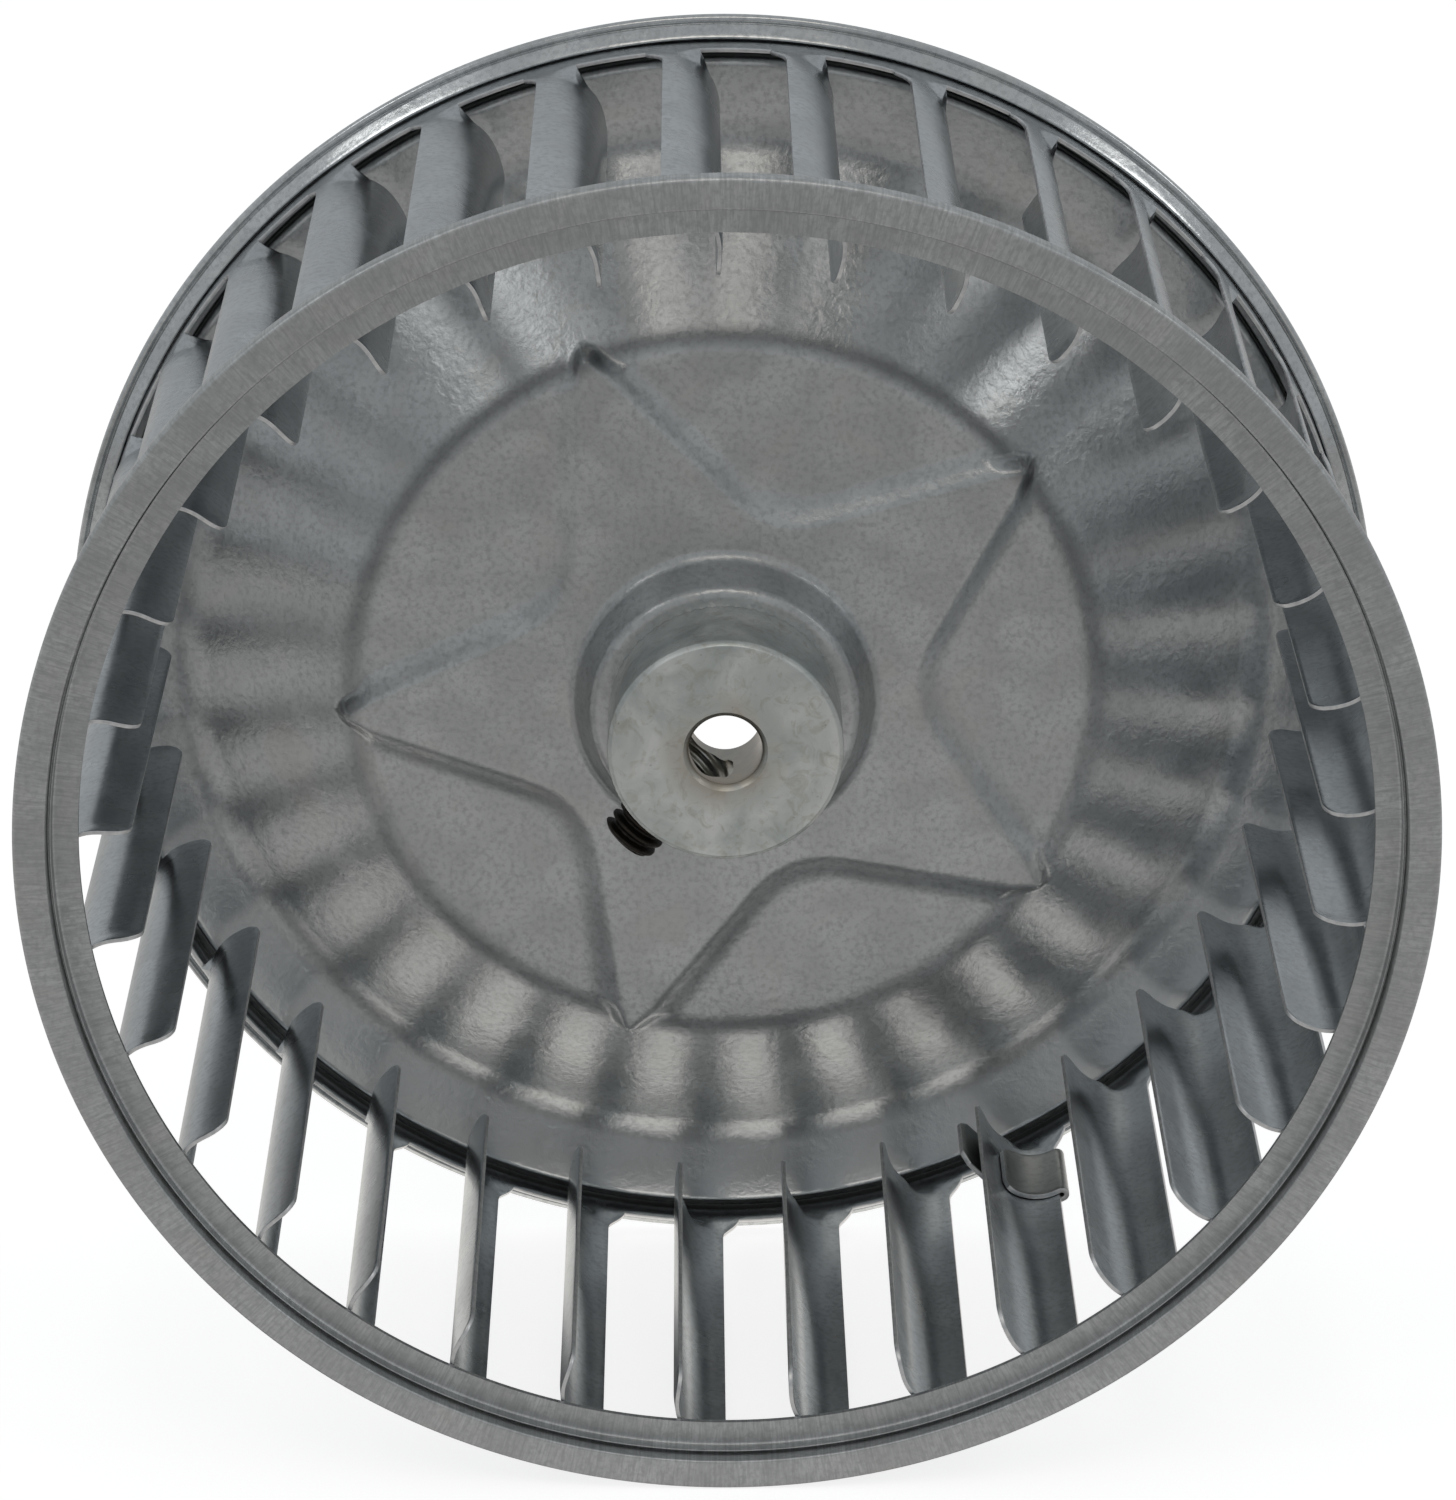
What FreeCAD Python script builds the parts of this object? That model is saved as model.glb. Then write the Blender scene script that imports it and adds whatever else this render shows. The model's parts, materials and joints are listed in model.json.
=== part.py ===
import FreeCAD, Part
import math
import os

# Blower motor wheel: a forward-curved centrifugal wheel of galvanised sheet steel.
# Frame: millimetres, wheel axis along Y, inlet facing -Y, origin on the axis at mid width, +Z up.
# Angles are in degrees, anticlockwise as seen from the inlet, starting at +X.

Vector = FreeCAD.Vector

# Whole wheel
OUTER_RADIUS = 73.0
HALF_WIDTH = 30.65

# Rolled seams at both ends
RIM_SHEET = 0.55
SEAM_FRONT_LEAF = 28.3
SEAM_LEAF_INNER_RADIUS = 70.45
SEAM_BEND = 0.6

# Front end ring
LIP_INNER_RADIUS = 66.5
LIP_BACK_FACE = 27.15
RING_WALL_RADIUS = 69.25
RING_STEP_RADIUS = 69.8
RING_STEP_START = 28.7
RING_STEP_END = 29.2

# Blade strip
STRIP_SHEET = 0.45
STRIP_OUTER_RADIUS = 70.35
STRIP_FOLD_RADIUS = 72.2
STRIP_FOLD_END_RADIUS = 70.75
BLADE_COUNT = 33
FIRST_BLADE_ANGLE = 269.8
BLADE_FRONT_END = -27.1
BLADE_BACK_END = 25.1
BLADE_ROOT_ARC = 5.6
BLADE_TIP_ARC = 19.0
BLADE_TIP_RADIUS = 61.3
BLADE_CORNER = 2.4
ROOT_WEB = 0.25

# Back plate
PLATE_WALL_RADIUS = 68.8
RIM_BEND_DEPTH = 27.7
CONE_OUTER_RADIUS = 59.5
CONE_OUTER_DEPTH = 29.2
CENTRE_RADIUS = 40.7
CENTRE_DEPTH = 14.7
COLLAR_FOOT_RADIUS = 16.7
COLLAR_TOP_RADIUS = 14.3
COLLAR_DEPTH = 10.2
PLATE_HOLE_RADIUS = 11.4

# Five pockets between the arms of the star
STAR_ARMS = 5
STAR_TIP_ANGLE = 39.0
STAR_INNER_RADIUS = 19.3
POCKET_OUTER_RADIUS = 40.3
POCKET_TIP_GAP = 2.3
POCKET_DEPTH = 1.3
POCKET_WALL_RUN = 1.6
POCKET_INNER_CORNER = 5.0
POCKET_TIP_CORNER = 2.2

# Hub
HUB_RADIUS = 12.7
HUB_FACE = -0.45
HUB_BACK = 10.95
HUB_EDGE_CHAMFER = 0.5
HUB_HEAD_RADIUS = 12.1
BORE_RADIUS = 3.97
BORE_MOUTH_CHAMFER = 0.6
BORE_BACK_CHAMFER = 1.0

# Set screw, 1/4 inch thread in the side of the hub
SCREW_ANGLE = 229.0
SCREW_DEPTH = 4.6
SCREW_RADIUS = 3.175
SCREW_LENGTH = 9.5
SCREW_OUTER_END = 16.0
SCREW_CLEARANCE = 0.04
SCREW_TIP_RADIUS = 1.9
SCREW_TIP_CONE = 1.1
SCREW_EDGE_CHAMFER = 0.4
SOCKET_ACROSS_FLATS = 3.175
SOCKET_DEPTH = 3.6

# Balance clip
CLIP_BLADE = 3
CLIP_SHEET = 0.6
CLIP_GAP = 0.01
CLIP_FRONT = 11.0
CLIP_BACK = 21.0
CLIP_INNER_LEAF_SWEEP = 72.0
CLIP_OUTER_LEAF_SWEEP = 74.0
CLIP_OUTER_LEAF_END = Vector(60.6, 0, -1.6)


def section_point(radius, depth):
    """Point of a section that is turned about the wheel axis."""
    return Vector(radius, depth, 0)


def shifted_corners(path, shift):
    """Corners of a path in the XY plane moved sideways; a positive shift is to the left."""
    directions = []
    for first, second in zip(path[:-1], path[1:]):
        directions.append((second - first).normalize())
    normals = [Vector(-d.y, d.x, 0) for d in directions]
    corners = [path[0] + normals[0] * shift]
    for i in range(1, len(path) - 1):
        mitre = normals[i - 1] + normals[i]
        corners.append(path[i] + mitre * (2 * shift / mitre.Length ** 2))
    corners.append(path[-1] + normals[-1] * shift)
    return corners


def rounded_edges(corners, radii):
    """Lines and arcs through corners in the XY plane, each inner corner rounded by its radius."""
    edges = []
    start = corners[0]
    for i in range(1, len(corners) - 1):
        before = (corners[i] - corners[i - 1]).normalize()
        after = (corners[i + 1] - corners[i]).normalize()
        half_turn = before.getAngle(after) / 2
        reach = radii[i - 1] * math.tan(half_turn)
        arc_start = corners[i] - before * reach
        arc_end = corners[i] + after * reach
        inward = (after - before).normalize()
        to_middle = radii[i - 1] / math.cos(half_turn) - radii[i - 1]
        arc_middle = corners[i] + inward * to_middle
        edges.append(Part.LineSegment(start, arc_start).toShape())
        edges.append(Part.Arc(arc_start, arc_middle, arc_end).toShape())
        start = arc_end
    edges.append(Part.LineSegment(start, corners[-1]).toShape())
    return edges


def sheet_face(path, bends, thickness):
    """Section of bent sheet: path is one surface, and the sheet lies to its left
    for a positive thickness and to its right for a negative one."""
    far_bends = []
    for i, bend in enumerate(bends):
        before = path[i + 1] - path[i]
        after = path[i + 2] - path[i + 1]
        turn = 1 if before.cross(after).z > 0 else -1
        far_bends.append(max(bend - turn * thickness, 0.05))
    far = shifted_corners(path, thickness)
    edges = rounded_edges(path, bends)
    edges.append(Part.LineSegment(path[-1], far[-1]).toShape())
    edges += rounded_edges(far, far_bends)
    edges.append(Part.LineSegment(far[0], path[0]).toShape())
    return Part.Face(Part.Wire(Part.__sortEdges__(edges)))


def turned(face):
    """Solid of revolution of a section about the wheel axis."""
    return face.revolve(Vector(0, 0, 0), Vector(0, 1, 0), 360)


def turned_outline(points):
    """Solid of revolution of a closed outline given as (radius, depth) pairs."""
    corners = [section_point(radius, depth) for radius, depth in points]
    return turned(Part.Face(Part.makePolygon(corners + corners[:1])))


def at_angle(shape, degrees):
    """Copy of a shape turned about the wheel axis, anticlockwise as seen from the inlet."""
    copy = shape.copy()
    copy.rotate(Vector(0, 0, 0), Vector(0, 1, 0), -degrees)
    return copy


def front_end_ring():
    """Ring with a flat inner lip, a stepped wall and the rolled seam round the strip."""
    seam_inside = HALF_WIDTH - RIM_SHEET
    leaf_inside = SEAM_FRONT_LEAF + RIM_SHEET
    seam_radius = OUTER_RADIUS - RIM_SHEET
    path = [
        section_point(LIP_INNER_RADIUS, -LIP_BACK_FACE),
        section_point(RING_WALL_RADIUS, -LIP_BACK_FACE),
        section_point(RING_WALL_RADIUS, -RING_STEP_START),
        section_point(RING_STEP_RADIUS, -RING_STEP_END),
        section_point(RING_STEP_RADIUS, -seam_inside),
        section_point(seam_radius, -seam_inside),
        section_point(seam_radius, -leaf_inside),
        section_point(SEAM_LEAF_INNER_RADIUS, -leaf_inside),
    ]
    bends = [0.65, 0.4, 0.4, 0.3, SEAM_BEND, SEAM_BEND]
    return turned(sheet_face(path, bends, -RIM_SHEET))


def strip_band(window_end):
    """End band of the strip with its edge folded back inside the rolled seam."""
    side = -1 if window_end < 0 else 1
    seam_inside = side * (HALF_WIDTH - RIM_SHEET)
    leaf_inside = side * (SEAM_FRONT_LEAF + RIM_SHEET)
    inner_radius = STRIP_OUTER_RADIUS - STRIP_SHEET
    path = [
        section_point(inner_radius, window_end),
        section_point(inner_radius, seam_inside),
        section_point(STRIP_FOLD_RADIUS, seam_inside),
        section_point(STRIP_FOLD_RADIUS, leaf_inside),
        section_point(STRIP_FOLD_END_RADIUS, leaf_inside),
    ]
    return turned(sheet_face(path, [SEAM_BEND] * 3, -side * STRIP_SHEET))


def root_circle_radius():
    """Middle radius of the strip's sheet, where a blade's root line lies."""
    return STRIP_OUTER_RADIUS - STRIP_SHEET / 2


def root_lag():
    """Angle from a blade's reference line to its root line."""
    return math.degrees(BLADE_ROOT_ARC / root_circle_radius())


def blade_point(centre, radius, degrees):
    """Point on an arc of a blade section; X is radial and Z is tangential."""
    angle = math.radians(degrees)
    return centre + Vector(radius * math.sin(angle), 0, radius * math.cos(angle))


def blade_arc(centre, radius, start, end):
    """Arc of a blade section between two angles."""
    middle = (start + end) / 2
    ends = [blade_point(centre, radius, a) for a in (start, middle, end)]
    return Part.Arc(ends[0], ends[1], ends[2]).toShape()


def root_centre():
    """Centre of a blade's outer arc, in the section's own frame."""
    radius = root_circle_radius() - BLADE_ROOT_ARC
    return Vector(radius, 0, BLADE_ROOT_ARC)


def blade_section():
    """Section of one blade: root web, outer quarter arc, then a gentler arc to the tip."""
    half = STRIP_SHEET / 2
    web = Vector(0, 0, ROOT_WEB)
    outer = root_centre()
    inner = Vector(outer.x, 0, BLADE_TIP_ARC)
    drop = outer.x - BLADE_TIP_RADIUS
    tip = 180 + math.degrees(math.asin(drop / BLADE_TIP_ARC))
    edges = []
    for side in (-half, half):
        edges.append(blade_arc(outer, BLADE_ROOT_ARC + side, 90, 180))
        edges.append(blade_arc(inner, BLADE_TIP_ARC + side, 180, tip))
        root = blade_point(outer, BLADE_ROOT_ARC + side, 90)
        edges.append(Part.LineSegment(root, root + web).toShape())
    root_near = blade_point(outer, BLADE_ROOT_ARC - half, 90) + web
    root_far = blade_point(outer, BLADE_ROOT_ARC + half, 90) + web
    edges.append(Part.LineSegment(root_near, root_far).toShape())
    tip_near = blade_point(inner, BLADE_TIP_ARC - half, tip)
    tip_far = blade_point(inner, BLADE_TIP_ARC + half, tip)
    edges.append(Part.LineSegment(tip_near, tip_far).toShape())
    return Part.Face(Part.Wire(Part.__sortEdges__(edges)))


def blade_envelope():
    """Turned envelope that rounds the inner corners of every blade."""
    corners = [
        section_point(STRIP_OUTER_RADIUS + 1, BLADE_FRONT_END),
        section_point(BLADE_TIP_RADIUS - 0.3, BLADE_FRONT_END),
        section_point(BLADE_TIP_RADIUS - 0.3, BLADE_BACK_END),
        section_point(STRIP_OUTER_RADIUS + 1, BLADE_BACK_END),
    ]
    edges = rounded_edges(corners, [BLADE_CORNER, BLADE_CORNER])
    edges.append(Part.LineSegment(corners[-1], corners[0]).toShape())
    return turned(Part.Face(Part.Wire(edges)))


def blade():
    """One blade, on the reference line at angle zero."""
    section = blade_section()
    section.translate(Vector(0, BLADE_FRONT_END, 0))
    body = section.extrude(Vector(0, BLADE_BACK_END - BLADE_FRONT_END, 0))
    return body.common(blade_envelope())


def blade_strip():
    """Blades and both end bands, which are one piece of sheet."""
    single = blade()
    pieces = []
    for k in range(BLADE_COUNT):
        pieces.append(at_angle(single, blade_reference_angle(k)))
    pieces.append(strip_band(BLADE_BACK_END))
    return strip_band(BLADE_FRONT_END).multiFuse(pieces).removeSplitter()


def blade_reference_angle(index):
    """Angle of the reference line of one blade."""
    return FIRST_BLADE_ANGLE + 360.0 / BLADE_COUNT * index - root_lag()


def pocket_outline(depth, growth):
    """Outline of one pocket about +X, moved outward by growth."""
    half_span = math.radians(180.0 / STAR_ARMS - POCKET_TIP_GAP)
    corner = Vector(POCKET_OUTER_RADIUS * math.cos(half_span), POCKET_OUTER_RADIUS * math.sin(half_span), 0)
    vertex = Vector(STAR_INNER_RADIUS, 0, 0)
    mirrored = Vector(corner.x, -corner.y, 0)
    bulge = Vector(POCKET_OUTER_RADIUS, 0, 0)
    side = Part.LineSegment(vertex, corner).toShape()
    other = Part.LineSegment(mirrored, vertex).toShape()
    rim = Part.Arc(corner, bulge, mirrored).toShape()
    face = Part.Face(Part.Wire([side, rim, other]))
    tall = face.extrude(Vector(0, 0, 1))
    rounded = round_upright_edges(tall)
    outline = rounded.slice(Vector(0, 0, 1), 0.5)[0]
    if growth:
        outline = outline.makeOffset2D(growth)
    outline.translate(Vector(0, 0, -0.5))
    outline.rotate(Vector(0, 0, 0), Vector(1, 0, 0), 90)
    outline.translate(Vector(0, depth, 0))
    return outline


def round_upright_edges(tall):
    """Pocket prism with its three upright edges rounded."""
    rounded = tall
    for near_tip in (False, True):
        edges = []
        for edge in rounded.Edges:
            box = edge.BoundBox
            if box.ZLength < 0.5 or box.XLength > 0.01 or box.YLength > 0.01:
                continue
            if near_tip == (abs(box.YMin) > 5):
                edges.append(edge)
        radius = POCKET_TIP_CORNER if near_tip else POCKET_INNER_CORNER
        rounded = rounded.makeFillet(radius, edges)
    return rounded


def pocket(front, growth):
    """Tapered solid of one pocket that starts at the depth front."""
    mouth = pocket_outline(front, growth)
    floor = pocket_outline(front + POCKET_DEPTH, growth - POCKET_WALL_RUN)
    return Part.makeLoft([mouth, floor], True, True)


def back_plate():
    """Dished plate whose rim is rolled over the strip, with five pockets round the hub."""
    seam_inside = HALF_WIDTH - RIM_SHEET
    leaf_inside = SEAM_FRONT_LEAF + RIM_SHEET
    seam_radius = OUTER_RADIUS - RIM_SHEET
    path = [
        section_point(PLATE_HOLE_RADIUS, COLLAR_DEPTH),
        section_point(COLLAR_TOP_RADIUS, COLLAR_DEPTH),
        section_point(COLLAR_FOOT_RADIUS, CENTRE_DEPTH),
        section_point(CENTRE_RADIUS, CENTRE_DEPTH),
        section_point(CONE_OUTER_RADIUS, CONE_OUTER_DEPTH),
        section_point(PLATE_WALL_RADIUS, RIM_BEND_DEPTH),
        section_point(PLATE_WALL_RADIUS, seam_inside),
        section_point(seam_radius, seam_inside),
        section_point(seam_radius, leaf_inside),
        section_point(SEAM_LEAF_INNER_RADIUS, leaf_inside),
    ]
    bends = [0.9, 0.6, 1.2, 1.6, 0.7, 0.3, SEAM_BEND, SEAM_BEND]
    plate = turned(sheet_face(path, bends, RIM_SHEET))
    hollows = []
    backs = []
    for k in range(STAR_ARMS):
        angle = STAR_TIP_ANGLE - 180.0 / STAR_ARMS + 360.0 / STAR_ARMS * k
        hollows.append(at_angle(pocket(CENTRE_DEPTH, 0), angle))
        backs.append(at_angle(pocket(CENTRE_DEPTH + RIM_SHEET, 0.3), angle))
    return plate.multiFuse(backs).cut(Part.makeCompound(hollows))


def screw_direction():
    """Unit vector from the wheel axis out along the set screw."""
    angle = math.radians(SCREW_ANGLE)
    return Vector(math.cos(angle), 0, math.sin(angle))


def screw_cylinder(radius, inner_end, outer_end):
    """Cylinder on the set screw's line between two distances from the wheel axis."""
    direction = screw_direction()
    start = Vector(0, SCREW_DEPTH, 0) + direction * inner_end
    return Part.makeCylinder(radius, outer_end - inner_end, start, direction)


def hub():
    """Turned hub with its bore, staked head behind the plate and cross hole."""
    plate_back = COLLAR_DEPTH + RIM_SHEET
    outline = [
        (BORE_RADIUS + BORE_MOUTH_CHAMFER, HUB_FACE),
        (HUB_RADIUS - HUB_EDGE_CHAMFER, HUB_FACE),
        (HUB_RADIUS, HUB_FACE + HUB_EDGE_CHAMFER),
        (HUB_RADIUS, COLLAR_DEPTH),
        (PLATE_HOLE_RADIUS, COLLAR_DEPTH),
        (PLATE_HOLE_RADIUS, plate_back),
        (HUB_HEAD_RADIUS, plate_back),
        (HUB_HEAD_RADIUS - 0.2, HUB_BACK),
        (BORE_RADIUS + BORE_BACK_CHAMFER, HUB_BACK),
        (BORE_RADIUS, HUB_BACK - BORE_BACK_CHAMFER),
        (BORE_RADIUS, HUB_FACE + BORE_MOUTH_CHAMFER),
    ]
    hole = screw_cylinder(SCREW_RADIUS + SCREW_CLEARANCE, 0, HUB_RADIUS + 2)
    return turned_outline(outline).cut(hole)


def set_screw():
    """Headless screw with a hexagon socket in its outer end and a blunt tip."""
    inner_end = SCREW_OUTER_END - SCREW_LENGTH
    outline = [
        Vector(0, 0, 0),
        Vector(SCREW_TIP_RADIUS, 0, 0),
        Vector(SCREW_RADIUS, 0, SCREW_TIP_CONE),
        Vector(SCREW_RADIUS, 0, SCREW_LENGTH - SCREW_EDGE_CHAMFER),
        Vector(SCREW_RADIUS - SCREW_EDGE_CHAMFER, 0, SCREW_LENGTH),
        Vector(0, 0, SCREW_LENGTH),
    ]
    face = Part.Face(Part.makePolygon(outline + outline[:1]))
    body = face.revolve(Vector(0, 0, 0), Vector(0, 0, 1), 360)
    across_corners = SOCKET_ACROSS_FLATS / math.sqrt(3)
    corners = []
    for k in range(7):
        angle = math.radians(60 * k)
        flat = Vector(across_corners * math.cos(angle), across_corners * math.sin(angle), 0)
        corners.append(flat + Vector(0, 0, SCREW_LENGTH - SOCKET_DEPTH))
    socket = Part.Face(Part.makePolygon(corners)).extrude(Vector(0, 0, SOCKET_DEPTH + 1))
    screw = body.cut(socket)
    direction = screw_direction()
    turn = FreeCAD.Rotation(Vector(0, 0, 1), direction)
    screw.Placement = FreeCAD.Placement(Vector(0, SCREW_DEPTH, 0) + direction * inner_end, turn)
    return screw


def clip_leaf(near_radius, far_radius, sweep):
    """Part ring of clip sheet that follows the blade's outer arc from the root line."""
    centre = root_centre()
    edges = [
        blade_arc(centre, near_radius, 90, 90 + sweep),
        blade_arc(centre, far_radius, 90, 90 + sweep),
    ]
    for angle in (90, 90 + sweep):
        near = blade_point(centre, near_radius, angle)
        far = blade_point(centre, far_radius, angle)
        edges.append(Part.LineSegment(near, far).toShape())
    return Part.Face(Part.Wire(Part.__sortEdges__(edges)))


def clip_bend(inner, outer):
    """Half ring that joins the two leaves round the blade's root edge."""
    shift = ROOT_WEB
    centre = Vector(root_circle_radius(), 0, BLADE_ROOT_ARC + shift)
    up = Vector(1, 0, 0)
    out = Vector(0, 0, 1)
    back = out * -shift
    edges = [
        Part.Arc(centre + up * outer, centre + out * outer, centre - up * outer).toShape(),
        Part.LineSegment(centre - up * outer, centre - up * outer + back).toShape(),
        Part.LineSegment(centre - up * outer + back, centre - up * inner + back).toShape(),
        Part.LineSegment(centre - up * inner + back, centre - up * inner).toShape(),
        Part.Arc(centre - up * inner, centre + out * inner, centre + up * inner).toShape(),
        Part.LineSegment(centre + up * inner, centre + up * inner + back).toShape(),
        Part.LineSegment(centre + up * inner + back, centre + up * outer + back).toShape(),
        Part.LineSegment(centre + up * outer + back, centre + up * outer).toShape(),
    ]
    return Part.Face(Part.Wire(edges))


def clip_tail(near_radius, far_radius):
    """Straight free end of the outer leaf, which stands off the blade."""
    near = blade_point(root_centre(), near_radius, 90 + CLIP_OUTER_LEAF_SWEEP)
    far = blade_point(root_centre(), far_radius, 90 + CLIP_OUTER_LEAF_SWEEP)
    along = (CLIP_OUTER_LEAF_END - near).normalize()
    across = Vector(-along.z, 0, along.x)
    if across.dot(far - near) < 0:
        across = across * -1
    end = CLIP_OUTER_LEAF_END
    return Part.Face(Part.makePolygon([near, end, end + across * CLIP_SHEET, far, near]))


def balance_clip():
    """U-shaped clip pushed over the root edge of one blade."""
    inner = STRIP_SHEET / 2 + CLIP_GAP
    outer = inner + CLIP_SHEET
    faces = [
        clip_leaf(BLADE_ROOT_ARC - outer, BLADE_ROOT_ARC - inner, CLIP_INNER_LEAF_SWEEP),
        clip_leaf(BLADE_ROOT_ARC + inner, BLADE_ROOT_ARC + outer, CLIP_OUTER_LEAF_SWEEP),
        clip_bend(inner, outer),
        clip_tail(BLADE_ROOT_ARC + inner, BLADE_ROOT_ARC + outer),
    ]
    length = Vector(0, CLIP_BACK - CLIP_FRONT, 0)
    solids = [face.extrude(length) for face in faces]
    clip = solids[0].multiFuse(solids[1:]).removeSplitter()
    clip.translate(Vector(0, CLIP_FRONT, 0))
    return at_angle(clip, blade_reference_angle(CLIP_BLADE))


NODES = {
    "front_end_ring": front_end_ring,
    "blade_strip": blade_strip,
    "back_plate": back_plate,
    "hub": hub,
    "set_screw": set_screw,
    "balance_clip": balance_clip,
}

os.makedirs("parts", exist_ok=True)
for name, make in NODES.items():
    shape = make()
    shape.exportStep("parts/" + name + ".step")
    box = shape.BoundBox
    print(name, shape.isValid(), len(shape.Solids), round(shape.Volume, 2))
    print("  x", round(box.XMin, 2), round(box.XMax, 2), "y", round(box.YMin, 2), round(box.YMax, 2))
    print("  z", round(box.ZMin, 2), round(box.ZMax, 2))
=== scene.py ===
"""Looks of the blower motor wheel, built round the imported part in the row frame.

Lengths are millimetres until new_object turns them into metres. Angles round the wheel
start at +X and run anticlockwise as seen from the inlet, which faces -Y.
"""
import json
import math
import random

import bmesh
import bpy
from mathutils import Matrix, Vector


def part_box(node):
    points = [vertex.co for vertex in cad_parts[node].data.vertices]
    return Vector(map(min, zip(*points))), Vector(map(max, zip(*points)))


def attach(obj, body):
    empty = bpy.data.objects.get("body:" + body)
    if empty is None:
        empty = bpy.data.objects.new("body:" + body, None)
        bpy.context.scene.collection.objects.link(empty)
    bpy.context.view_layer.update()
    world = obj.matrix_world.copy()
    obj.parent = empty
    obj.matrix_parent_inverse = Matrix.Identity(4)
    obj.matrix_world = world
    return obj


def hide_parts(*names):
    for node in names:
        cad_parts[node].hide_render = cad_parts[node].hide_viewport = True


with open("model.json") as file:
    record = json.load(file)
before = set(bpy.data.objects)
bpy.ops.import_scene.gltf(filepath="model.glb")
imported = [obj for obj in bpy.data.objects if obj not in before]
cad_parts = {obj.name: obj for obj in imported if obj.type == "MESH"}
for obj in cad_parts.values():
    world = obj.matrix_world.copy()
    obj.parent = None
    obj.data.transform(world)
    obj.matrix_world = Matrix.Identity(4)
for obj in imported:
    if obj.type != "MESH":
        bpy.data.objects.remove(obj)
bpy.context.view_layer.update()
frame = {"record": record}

MM = 0.001
SEED = 31
WHEEL_BODY = "wheel"
SCREW_BODY = "set_screw"

ring_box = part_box("front_end_ring")
plate_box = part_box("back_plate")
hub_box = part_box("hub")
screw_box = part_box("set_screw")
clip_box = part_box("balance_clip")

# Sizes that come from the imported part
SEAM_RADIUS = ring_box[1][2] / MM
FRONT_FACE = ring_box[0][1] / MM
BACK_FACE = plate_box[1][1] / MM
HUB_RADIUS = hub_box[1][2] / MM
HUB_FACE = hub_box[0][1] / MM
HUB_BACK = hub_box[1][1] / MM
COLLAR_DEPTH = plate_box[0][1] / MM
BORE_RADIUS = frame["record"]["mounts"][0]["dims"]["r_mm"]
SCREW_AXIS = Vector(frame["record"]["behaviour"]["joints"][0]["axis"]).normalized()
SCREW_CENTRE = (Vector(screw_box[0]) + Vector(screw_box[1])) / 2 / MM
CLIP_FRONT = clip_box[0][1] / MM
CLIP_BACK = clip_box[1][1] / MM

# Mesh points round one turn
LATHE_SEGMENTS = 384
PLATE_SEGMENTS = 720
SCREW_SEGMENTS = 72
HOLE_SEGMENTS = 48

# Front end ring: radii, and depths given as distances in front of mid width
RIM_SHEET = 0.55
FACE_INNER_RADIUS = 69.6
GROOVE_RADIUS = 69.35
WALL_RADIUS = 69.2
GROOVE_FRONT = 29.0
GROOVE_BACK = 28.35
LIP_RADIUS = 66.5
LIP_BACK = 27.15
BEAD_BACK = 28.7
RING_LEAF_RADIUS = 70.6
RING_LEAF_DEPTH = 27.9
RING_FOLD_RADIUS = 72.4
RING_FOLD_DEPTH = 29.2
RING_GRIP_DEPTH = 28.0
RING_BENDS = (0.3, 0.07, 0.07, 0.05, 0.05, 0.3, 0.5, 0.6)
HEM_UNEVENNESS = 0.025

# Blade strip
STRIP_SHEET = 0.45
STRIP_RADIUS = 70.125
BLADE_COUNT = 33
BLADE_PITCH = 360.0 / BLADE_COUNT
FIRST_BLADE = 269.8
WINDOW_FRONT = -27.1
WINDOW_BACK = 25.9
ROOT_ARC = 5.6
TIP_ARC = 19.0
TIP_RADIUS = 61.3
TIP_CORNER = 2.4
ATTACHED_WIDTH = 3.85
BEND_RUN = 2.6
HOOK_RUN = 2.4
ROOT_WEB = 0.25
FLARE_WIDTH = 1.7
FLARE_RUN = 3.7
FRONT_CUT = 0.08
BACK_CUT = 0.75
END_ZONE = 3.8
EDGE_ROUND = 0.1
BAND_GAP = 0.25
BAND_SHARES = (0.0, 0.25, 0.55, 0.85, 1.0)
ROW_MARGINS = (0.0, 0.25, 0.6, 1.0, 1.45, 1.9, 2.5, 3.1, 3.8, 9.5, 17.5)
ROOT_STEPS = 6
FREE_STEPS = 17
WINDOW_STEPS = 6
# How far a blade may stray from its even place: at its root in degrees, and towards its tip
ROOT_SPREAD = 0.12
TWIST_SPREAD = 0.5
TWIST_EASE = 2400.0

# Back plate
PLATE_HOLE = 11.4
COLLAR_RADIUS = 14.4
COLLAR_FOOT = 16.7
COLLAR_BENDS = (1.5, 1.6)
CENTRE_START = 18.6
CENTRE_DEPTH = 14.7
CENTRE_RADIUS = 40.7
CENTRE_ROUND = 1.3
CENTRE_STEPS = 84
CONE_START = 46.5
CONE_RADIUS = 59.5
CONE_DEPTH = 29.2
FLANGE_RADIUS = 68.8
FLANGE_DEPTH = 27.7
FOLD_RADIUS = 70.9
RIM_BENDS = (6.0, 0.9, 0.3)
DENT_DEPTH = 0.05
DENT_END = 66.0
DENT_FADE = 6.0

# Raised star
STAR_ARMS = 5
STAR_TIP_ANGLE = 39.0
STAR_TIP_RADIUS = 42.8
STAR_NOTCH = 19.3
STAR_NOTCH_ROUND = 6.0
STAR_HEIGHT = 1.4
STAR_SLOPE = 0.6
STAR_EDGE = 0.5
STAR_FOOT_ROUND = 0.8
TIP_STEEPENING = 2.5
TIP_START = 39.0
TIP_RUN = 3.0
TIP_END = 41.3
TIP_DROP = 1.1

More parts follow.
